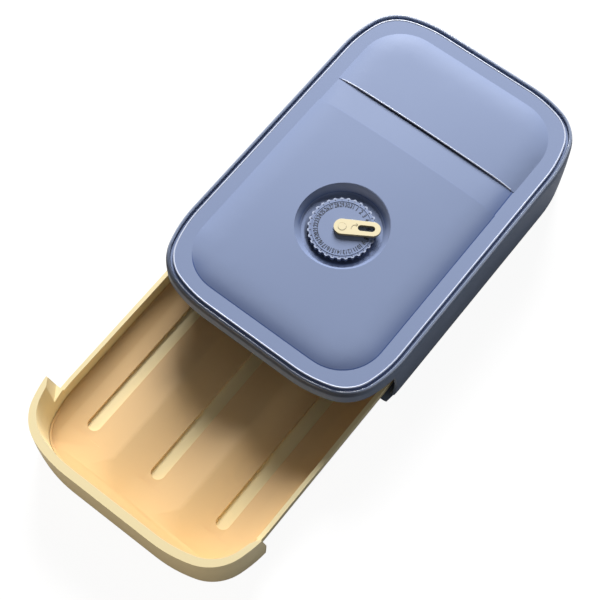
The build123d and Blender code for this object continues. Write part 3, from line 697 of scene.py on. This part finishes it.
class EggKeeperFinishDial(bpy.types.Operator):
    """Give the dial, the pointer and the pin their plastics and the hidden rings their steel"""

    bl_idname = "egg_keeper.finish_dial"
    bl_label = "Finish dial and pointer"

    def execute(self, context):
        shell = context.scene.egg_keeper_shell
        dial = context.scene.egg_keeper_dial
        blue, cream = shell.cover_colour, dial.pointer_colour
        dial_plastic = plastic(
            "dial_plastic",
            blue,
            shade=0.85,
            roughness=0.5,
            grain_scale=1800.0,
            grain_depth=0.04 * MILLIMETRE,
            specular=0.15,
        )
        # Painted highlight: paler colour on the rounded edges, which are also glossier
        polish_edges(dial_plastic, shell.edge_colour, 0.55)
        # Painted highlight: paler colour towards the dial's rim
        polish_rim(dial_plastic, shell.edge_colour, 0.6)
        # Painted shade on the dial's upright flanks
        grime_flanks(dial_plastic, dial.grime_colour, 0.92)
        rounded_copy("date_dial", "dial_rounded", dial.edge_round, dial_plastic, "dial")
        pointer = plastic("pointer_plastic", cream, shade=0.9, roughness=0.45, specular=0.2)
        # Painted highlight: paler colour on the pointer's rounded edges, which are also glossier
        polish_edges(pointer, lighter(cream, 0.45), 0.6)
        # Painted shade on the pointer's upright flanks
        grime_flanks(pointer, darker(cream, 0.06), 0.85)
        rounded_copy("dial_pointer", "pointer_rounded", dial.edge_round, pointer, "pointer")
        pin = plastic("pin_plastic", cream, shade=0.9, roughness=0.32, coat=0.2)
        dress("dial_axle", pin)
        steel = ring_steel()
        for ring in ("dial_washer", "axle_clip"):
            dress(ring, steel)
        return {"FINISHED"}


def ring_steel():
    """The steel of the hidden rings."""
    look = {
        "Colour": (0.55, 0.55, 0.56, 1.0),
        "Shade": (0.3, 0.3, 0.31, 1.0),
        "Roughness": 0.32,
        "Patch Scale": 300.0,
        "Gloss Share": 0.2,
    }
    steel, shader = toned_material("ring_steel", look)
    shader.inputs["Metallic"].default_value = 1.0
    return steel


def add_object(name, data):
    """A new object in the scene."""
    piece = bpy.data.objects.new(name, data)
    bpy.context.scene.collection.objects.link(piece)
    return piece


def rounded_copy(node_name, name, width, material, body):
    """A piece with rounded edges that stands for a CAD node."""
    shape = bmesh.new()
    shape.from_mesh(NODES[node_name].data)
    bmesh.ops.remove_doubles(shape, verts=shape.verts, dist=MERGE_DISTANCE)
    bmesh.ops.dissolve_limit(shape, angle_limit=FLAT_ANGLE, verts=shape.verts, edges=shape.edges)
    mesh = bpy.data.meshes.new(name + "_sharp")
    shape.to_mesh(mesh)
    shape.free()
    for title in ("custom_normal", "sharp_face", "sharp_edge"):
        if title in mesh.attributes:
            mesh.attributes.remove(mesh.attributes[title])
    seed = add_object(name + "_sharp", mesh)
    bevel = seed.modifiers.new("rounding", "BEVEL")
    bevel.width = width
    bevel.segments = 2
    bevel.limit_method = "ANGLE"
    bevel.angle_limit = ROUND_ANGLE
    rounded = plain_mesh_object(name + "_rounding", seed)
    bpy.data.meshes.remove(mesh)
    rounded_mesh = rounded.data
    rounded_mesh.set_sharp_from_angle(angle=SHARP_ANGLE)
    weighing = rounded.modifiers.new("weighing", "WEIGHTED_NORMAL")
    weighing.mode = "FACE_AREA"
    weighing.weight = 100
    weighing.keep_sharp = True
    piece = plain_mesh_object(name, rounded)
    bpy.data.meshes.remove(rounded_mesh)
    piece.data.materials.clear()
    piece.data.materials.append(material)
    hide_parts(node_name)
    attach(piece, body)


def plain_mesh_object(name, seed):
    """An object with the finished mesh of another, which is removed."""
    bpy.context.view_layer.update()
    mesh = bpy.data.meshes.new_from_object(seed.evaluated_get(bpy.context.evaluated_depsgraph_get()))
    seed.modifiers.clear()
    bpy.data.objects.remove(seed)
    mesh.name = name
    return add_object(name, mesh)


class EggKeeperMakeEdgeBeads(bpy.types.Operator):
    """Run a fine round bead along the cover's rim and along the top of its step"""

    bl_idname = "egg_keeper.make_edge_beads"
    bl_label = "Make edge beads"

    def execute(self, context):
        shell = context.scene.egg_keeper_shell
        pale = shell.edge_colour
        # The beads' pale colour is a painted highlight line along the rim and the step
        material = plastic("bead_sheen_plastic", pale, shade=0.85, roughness=0.3, grain_scale=1800.0, coat=0.3)
        tree = bead_tree()
        beads = (
            ("rim_bead", rim_path(shell.bead_inset), True, shell.bead_radius),
            ("step_bead", step_path(), False, shell.bead_radius * STEP_BEAD_SHARE),
        )
        for name, points, closed, radius in beads:
            path = path_mesh(name, points, closed)
            piece = grow(name, tree, {"Bead Radius": radius, "Material": material}, path)
            piece.data.materials.clear()
            piece.data.materials.append(material)
            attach(piece, "casing")
        return {"FINISHED"}


def cover_points(axis, level):
    """Vertices of the cover that lie at one level of an axis."""
    mesh = NODES["top_cover"].data
    return [vertex.co.copy() for vertex in mesh.vertices if abs(vertex.co[axis] - level) < SAME_LEVEL]


def rim_path(inset):
    """The outer end of the cover's flat rim, moved inwards, as a closed path."""
    flat = sorted({(round(p.x, 6), round(p.y, 6)) for p in cover_points(2, RIM_LEVEL)})
    hull = []
    for row in (flat, flat[::-1]):
        side = []
        for point in row:
            while len(side) > 1 and turn_of(side[-2], side[-1], point) <= 0:
                side.pop()
            side.append(point)
        hull += side[:-1]
    count = len(hull)
    path = []
    for number, (x, y) in enumerate(hull):
        before, after = hull[number - 1], hull[(number + 1) % count]
        along = Vector((after[0] - before[0], after[1] - before[1])).normalized()
        path.append((x - along.y * inset, y + along.x * inset, RIM_LEVEL - BEAD_DEPTH, 1.0))
    return path


def turn_of(first, middle, last):
    """Positive where three plane points turn left."""
    return (middle[0] - first[0]) * (last[1] - first[1]) - (middle[1] - first[1]) * (last[0] - first[0])


def step_path():
    """The top edge of the cover's step, with a bead radius that fades at its ends."""
    edge = []
    for point in sorted({(round(p.x, 6), round(p.z, 6)) for p in cover_points(1, STEP_LEVEL)}):
        while len(edge) > 1 and turn_of(edge[-2], edge[-1], point) >= 0:
            edge.pop()
        edge.append(point)
    return [
        (x, STEP_LEVEL + BEAD_DEPTH, z - BEAD_DEPTH, 1.0 - (abs(x) / STEP_HALF_LENGTH) ** 4)
        for x, z in edge
        if abs(x) < STEP_HALF_LENGTH
    ]


def path_mesh(name, points, closed):
    """A mesh of edges through points whose fourth number is the bead's share of its radius."""
    count = len(points)
    edges = [(number, (number + 1) % count) for number in range(count if closed else count - 1)]
    mesh = bpy.data.meshes.new(name + "_path")
    mesh.from_pydata([point[:3] for point in points], edges, [])
    share = mesh.attributes.new("radius", "FLOAT", "POINT")
    for number, point in enumerate(points):
        share.data[number].value = point[3]
    return mesh


def shape_group(name, inputs):
    """An empty Geometry Nodes group that gives one shape in one material."""
    inputs = (*inputs, ("Material", "NodeSocketMaterial"))
    return new_group(name, inputs, [("Geometry", "NodeSocketGeometry")], "GeometryNodeTree")


def give_shape(tree, inlet, outlet, shape):
    """Ends a Geometry Nodes group: real geometry in the group's material."""
    real = tree.nodes.new("GeometryNodeRealizeInstances")
    feed(tree, shape, real.inputs["Geometry"])
    paint = tree.nodes.new("GeometryNodeSetMaterial")
    feed(tree, real.outputs["Geometry"], paint.inputs["Geometry"])
    feed(tree, inlet.outputs["Material"], paint.inputs["Material"])
    feed(tree, paint.outputs["Geometry"], outlet.inputs["Geometry"])
    return tree


def bead_tree():
    """Geometry Nodes: a round bead along a path of edges."""
    inputs = (("Path", "NodeSocketGeometry"), ("Bead Radius", "NodeSocketFloat"))
    tree, inlet, outlet = shape_group("bead_on_path", inputs)
    new, link = tree.nodes.new, tree.links.new
    line = new("GeometryNodeMeshToCurve")
    link(inlet.outputs["Path"], line.inputs["Mesh"])
    ring = new("GeometryNodeCurvePrimitiveCircle")
    ring.inputs["Resolution"].default_value = BEAD_SIDES
    link(inlet.outputs["Bead Radius"], ring.inputs["Radius"])
    sweep = new("GeometryNodeCurveToMesh")
    sweep.inputs["Fill Caps"].default_value = True
    link(line.outputs["Curve"], sweep.inputs["Curve"])
    link(ring.outputs["Curve"], sweep.inputs["Profile Curve"])
    smooth = new("GeometryNodeSetShadeSmooth")
    link(sweep.outputs["Mesh"], smooth.inputs["Geometry"])
    return give_shape(tree, inlet, outlet, smooth.outputs["Geometry"])


class EggKeeperFinishFeet(bpy.types.Operator):
    """Give the four feet their rubber"""

    bl_idname = "egg_keeper.finish_feet"
    bl_label = "Finish feet"

    def execute(self, context):
        grey = (0.055, 0.058, 0.064, 1.0)
        rubber = plastic(
            "foot_rubber",
            grey,
            shade=0.6,
            roughness=0.75,
            grain_scale=2600.0,
            grain_depth=0.08 * MILLIMETRE,
            specular=0.3,
            tone=0.4,
        )
        for name in NODES:
            if name.startswith("foot_"):
                dress(name, rubber)
        return {"FINISHED"}


class EggKeeperMakeNumbers(bpy.types.Operator):
    """Set the raised day numbers round the dial"""

    bl_idname = "egg_keeper.make_numbers"
    bl_label = "Make dial numbers"

    def execute(self, context):
        dial = context.scene.egg_keeper_dial
        step = 2 * pi / dial.days
        first_tooth = step * round(dial.days / 4)
        rows = []
        for day in range(1, dial.days + 1):
            curve = bpy.data.curves.new(f"day_{day:02d}", "FONT")
            curve.body = str(day)
            curve.align_x = curve.align_y = "CENTER"
            curve.size = dial.number_height * NUMBER_TEXT_SIZE
            curve.extrude = (dial.number_relief + SINK) / 2
            curve.resolution_u = 3
            curve.offset = NUMBER_BOLDNESS
            holder = add_object(curve.name, curve)
            context.view_layer.update()
            mesh = bpy.data.meshes.new_from_object(holder.evaluated_get(context.evaluated_depsgraph_get()))
            bpy.data.objects.remove(holder)
            bpy.data.curves.remove(curve)
            height = DIAL_FACE + (dial.number_relief - SINK) / 2
            place = (
                Matrix.Translation((DIAL_CENTRE.x, DIAL_CENTRE.y, height))
                @ Matrix.Rotation(first_tooth - step * (day - 1) - pi / 2, 4, "Z")
                @ Matrix.Translation((0.0, dial.number_ring, 0.0))
                @ Matrix.Diagonal((NUMBER_NARROWING, 1.0, 1.0, 1.0))
            )
            mesh.transform(place)
            rows.append(mesh)
        numbers = join_meshes("dial_numbers", rows)
        finish_dial_mark(numbers, mark_plastic(context.scene.egg_keeper_shell))
        return {"FINISHED"}


class EggKeeperMakeTicks(bpy.types.Operator):
    """Grow one fine raised tick inside each tooth of the dial"""

    bl_idname = "egg_keeper.make_ticks"
    bl_label = "Make dial ticks"

    def execute(self, context):
        dial = context.scene.egg_keeper_dial
        material = mark_plastic(context.scene.egg_keeper_shell)
        height = dial.number_relief + SINK
        ticks = grow(
            "dial_ticks",
            ring_of_ticks_tree(),
            {
                "Count": dial.days,
                "Ring Radius": dial.tick_ring,
                "Tick Length": dial.tick_length,
                "Tick Width": dial.tick_width,
                "Tick Height": height,
                "Centre": (DIAL_CENTRE.x, DIAL_CENTRE.y, DIAL_FACE - SINK + height / 2),
                "Material": material,
            },
        )
        finish_dial_mark(ticks, material)
        return {"FINISHED"}


class EggKeeperMakePointerMarks(bpy.types.Operator):
    """Mould the little arrow on the pointer, and a raised half ring round the pin whose dark colour is a
    painted shadow line at the pin's edge
    """

    bl_idname = "egg_keeper.make_pointer_marks"
    bl_label = "Make pointer marks"

    def execute(self, context):
        dial = context.scene.egg_keeper_dial
        ring = dial.pivot_ring
        half_ring = [(ring * cos(radians(turn)), ring * sin(radians(turn))) for turn in HALF_RING_TURNS]
        arrow = [[(x * MILLIMETRE, y * MILLIMETRE) for x, y in path] for path in (ARROW_SHAFT, ARROW_HEAD)]
        pieces = [ribbon(path, MARK_WIDTH, MARK_RELIEF) for path in (half_ring, *arrow)]
        for piece in pieces:
            piece.transform(Matrix.Translation(PIVOT) @ Matrix.Rotation(dial.pointer_turn, 4, "Z"))
        marks = join_meshes("pointer_marks", pieces)
        # The darker cream is the arrow's own colour; on the half ring it is a painted shadow line
        cream = darker(dial.pointer_colour, 0.62)
        material = plastic("pointer_mark_plastic", cream, shade=0.9, roughness=0.34)
        marks.data.materials.append(material)
        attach(marks, "pointer")
        return {"FINISHED"}


def mark_plastic(shell):
    """The plastic of the dial's numbers and ticks, made the first time it is asked for."""
    blue = darker(shell.cover_colour, 0.16)
    return bpy.data.materials.get("mark_plastic") or plastic(
        "mark_plastic", blue, shade=0.8, roughness=0.34, grain_scale=1800.0, coat=0.1
    )


def finish_dial_mark(piece, material):
    """Gives a mark of the dial its plastic and lets it turn with the dial."""
    piece.data.materials.clear()
    piece.data.materials.append(material)
    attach(piece, "dial")


def ring_of_ticks_tree():
    """Geometry Nodes: boxes on a circle, each with its length along the radius."""
    inputs = (
        ("Count", "NodeSocketInt"),
        ("Ring Radius", "NodeSocketFloat"),
        ("Tick Length", "NodeSocketFloat"),
        ("Tick Width", "NodeSocketFloat"),
        ("Tick Height", "NodeSocketFloat"),
        ("Centre", "NodeSocketVector"),
    )
    tree, inlet, outlet = shape_group("ring_of_ticks", inputs)
    new, link = tree.nodes.new, tree.links.new
    circle = new("GeometryNodeMeshCircle")
    link(inlet.outputs["Count"], circle.inputs["Vertices"])
    link(inlet.outputs["Ring Radius"], circle.inputs["Radius"])
    size = new("ShaderNodeCombineXYZ")
    for axis, title in zip("XYZ", ("Tick Length", "Tick Width", "Tick Height")):
        link(inlet.outputs[title], size.inputs[axis])
    box = new("GeometryNodeMeshCube")
    link(size.outputs["Vector"], box.inputs["Size"])
    index = new("GeometryNodeInputIndex")
    turns = math_node(tree, "DIVIDE", index.outputs["Index"], inlet.outputs["Count"])
    turn = new("ShaderNodeCombineXYZ")
    link(product(tree, turns, 2 * pi), turn.inputs["Z"])
    spread = new("GeometryNodeInstanceOnPoints")
    link(circle.outputs["Mesh"], spread.inputs["Points"])
    link(box.outputs["Mesh"], spread.inputs["Instance"])
    link(turn.outputs["Vector"], spread.inputs["Rotation"])
    place = new("GeometryNodeTransform")
    link(spread.outputs["Instances"], place.inputs["Geometry"])
    link(inlet.outputs["Centre"], place.inputs["Translation"])
    return give_shape(tree, inlet, outlet, place.outputs["Geometry"])


def grow(name, tree, values, start=None):
    """A plain mesh object from a Geometry Nodes tree, its input values and the mesh it starts from."""
    seed = add_object(name + "_seed", start or bpy.data.meshes.new(name + "_seed"))
    modifier = seed.modifiers.new(name, "NODES")
    modifier.node_group = tree
    for item in tree.interface.items_tree:
        if item.in_out == "INPUT" and item.name in values:
            modifier[item.identifier] = values[item.name]
    return plain_mesh_object(name, seed)


def ribbon(path, width, relief):
    """A flat raised strip of even width along a plane path, closed all round, as a mesh."""
    points = [Vector((x, y, 0.0)) for x, y in path]
    rows = []
    for number, point in enumerate(points):
        before = points[max(number - 1, 0)]
        after = points[min(number + 1, len(points) - 1)]
        along = (after - before).normalized()
        side = Vector((-along.y, along.x, 0.0)) * width / 2
        low, high = Vector((0, 0, -SINK)), Vector((0, 0, relief))
        rows.append([point + side + low, point - side + low, point - side + high, point + side + high])
    faces = []
    for number in range(len(rows) - 1):
        near, far = 4 * number, 4 * (number + 1)
        for corner in range(4):
            beside = (corner + 1) % 4
            faces.append((near + corner, near + beside, far + beside, far + corner))
    last = 4 * (len(rows) - 1)
    faces += [(3, 2, 1, 0), (last, last + 1, last + 2, last + 3)]
    mesh = bpy.data.meshes.new("ribbon")
    mesh.from_pydata([tuple(point) for row in rows for point in row], [], faces)
    shape = bmesh.new()
    shape.from_mesh(mesh)
    bmesh.ops.recalc_face_normals(shape, faces=shape.faces)
    shape.to_mesh(mesh)
    shape.free()
    return mesh


def join_meshes(name, meshes):
    """One object from several meshes."""
    points, faces = [], []
    for mesh in meshes:
        first = len(points)
        points.extend(tuple(vertex.co) for vertex in mesh.vertices)
        faces.extend(tuple(first + index for index in face.vertices) for face in mesh.polygons)
        bpy.data.meshes.remove(mesh)
    whole = bpy.data.meshes.new(name)
    whole.from_pydata(points, [], faces)
    whole.update()
    return add_object(name, whole)


class EggKeeperSetStage(bpy.types.Operator):
    """Set the floor, the lamps, the even light and the camera"""

    bl_idname = "egg_keeper.set_stage"
    bl_label = "Set stage"

    def execute(self, context):
        stage = context.scene.egg_keeper_stage
        add_floor(stage)
        add_lamps(stage)
        add_even_light(stage)
        add_camera(stage)
        context.scene.view_settings.view_transform = "Standard"
        return {"FINISHED"}


def seen_share(tree, gloss_share):
    """1 where the camera looks, straight or through glass, and a share where a gloss does."""
    path = tree.nodes.new("ShaderNodeLightPath")
    straight = math_node(tree, "MAXIMUM", path.outputs["Is Camera Ray"], path.outputs["Is Transmission Ray"])
    mirrored = product(tree, path.outputs["Is Glossy Ray"], gloss_share)
    return math_node(tree, "MAXIMUM", straight, mirrored)


def add_floor(stage):
    """A wide pale floor that keeps a soft shadow and looks near white to the camera."""
    mesh = bpy.data.meshes.new("floor")
    mesh.from_pydata(
        [(x * FLOOR_HALF, y * FLOOR_HALF, 0.0) for x, y in ((-1, -1), (1, -1), (1, 1), (-1, 1))],
        [],
        [(0, 1, 2, 3)],
    )
    floor = add_object("floor", mesh)
    paper = bpy.data.materials.new("floor_paper")
    paper.use_nodes = True
    tree = paper.node_tree
    shader = tree.nodes["Principled BSDF"]
    shader.inputs["Roughness"].default_value = 0.9
    shader.inputs["Specular IOR Level"].default_value = 0.0
    shader.inputs["Emission Color"].default_value = (1.0, 1.0, 1.0, 1.0)
    seen = seen_share(tree, stage.gloss_share)
    tone = colour_mix(tree, seen, stage.floor_bounce, stage.floor_colour)
    feed(tree, tone, shader.inputs["Base Color"])
    glow = product(tree, seen, stage.floor_lift)
    feed(tree, glow, shader.inputs["Emission Strength"])
    mesh.materials.append(paper)


def add_lamps(stage):
    """A large soft lamp high at the back left, and two weak strips that draw the edges."""
    lamps = (  # name, place, width and height, power, tint
        ("key_lamp", (-1.50, 2.38, 1.78), (1.7, 1.7), stage.key_power, (1.0, 1.0, 1.0)),
        ("front_strip", (-0.20, -1.60, 0.30), (1.3, 0.2), stage.front_power, (1.0, 0.84, 0.66)),
        ("side_strip", (1.45, 0.45, 0.55), (1.0, 0.2), stage.side_power, (0.86, 0.94, 1.0)),
    )
    for name, place, (width, height), power, tint in lamps:
        light = bpy.data.lights.new(name, "AREA")
        light.shape = "RECTANGLE"
        light.size = width
        light.size_y = height
        light.energy = power
        light.color = tint
        lamp = add_object(name, light)
        lamp.location = place
        lamp.rotation_mode = "QUATERNION"
        lamp.rotation_quaternion = (LAMP_TARGET - Vector(place)).to_track_quat("-Z", "Y")


def add_even_light(stage):
    """The even light from all round, white where the camera sees it."""
    world = bpy.data.worlds.new("even_light")
    bpy.context.scene.world = world
    world.use_nodes = True
    tree = world.node_tree
    background = tree.nodes["Background"]
    background.inputs["Color"].default_value = (1.0, 1.0, 1.0, 1.0)
    strength = math_node(tree, "MAXIMUM", seen_share(tree, stage.gloss_share), stage.fill_strength)
    feed(tree, strength, background.inputs["Strength"])


def add_camera(stage):
    """The camera, looking down at the open drawer from its front right."""
    data = bpy.data.cameras.new("camera")
    data.lens = stage.lens
    data.sensor_width = 36.0
    data.clip_start = 0.05
    data.clip_end = 30.0
    camera = add_object("camera", data)
    camera.location = stage.camera_place
    camera.rotation_euler = (pi / 2 - stage.camera_tilt, 0.0, stage.camera_turn)
    bpy.context.scene.camera = camera


# ---------------------------------------------------------------- panel and registration

STEPS = (
    EggKeeperFinishCasing,
    EggKeeperFinishCover,
    EggKeeperFinishDrawer,
    EggKeeperFinishDial,
    EggKeeperMakeEdgeBeads,
    EggKeeperFinishFeet,
    EggKeeperMakeNumbers,
    EggKeeperMakeTicks,
    EggKeeperMakePointerMarks,
    EggKeeperSetStage,
)
SETTINGS = (
    ("egg_keeper_shell", EggKeeperShellSettings),
    ("egg_keeper_drawer", EggKeeperDrawerSettings),
    ("egg_keeper_dial", EggKeeperDialSettings),
    ("egg_keeper_stage", EggKeeperStageSettings),
)


class EggKeeperPanel(bpy.types.Panel):
    """Sizes, colours and steps of the egg keeper"""

    bl_idname = "VIEW3D_PT_egg_keeper"
    bl_label = "Egg Keeper"
    bl_space_type = "VIEW_3D"
    bl_region_type = "UI"
    bl_category = "Egg Keeper"

    def draw(self, context):
        for attribute, _ in SETTINGS:
            group = getattr(context.scene, attribute)
            column = self.layout.column(align=True)
            for title in group.__annotations__:
                column.prop(group, title)
        for step in STEPS:
            self.layout.operator(step.bl_idname)


def register():
    for attribute, group in SETTINGS:
        bpy.utils.register_class(group)
        setattr(bpy.types.Scene, attribute, bpy.props.PointerProperty(type=group))
    for kind in (*STEPS, EggKeeperPanel):
        bpy.utils.register_class(kind)


def unregister():
    for kind in reversed((*STEPS, EggKeeperPanel)):
        bpy.utils.unregister_class(kind)
    for attribute, group in reversed(SETTINGS):
        delattr(bpy.types.Scene, attribute)
        bpy.utils.unregister_class(group)


def main():
    register()
    for step in STEPS:
        group, name = step.bl_idname.split(".")
        getattr(getattr(bpy.ops, group), name)()


if __name__ == "__main__":
    main()
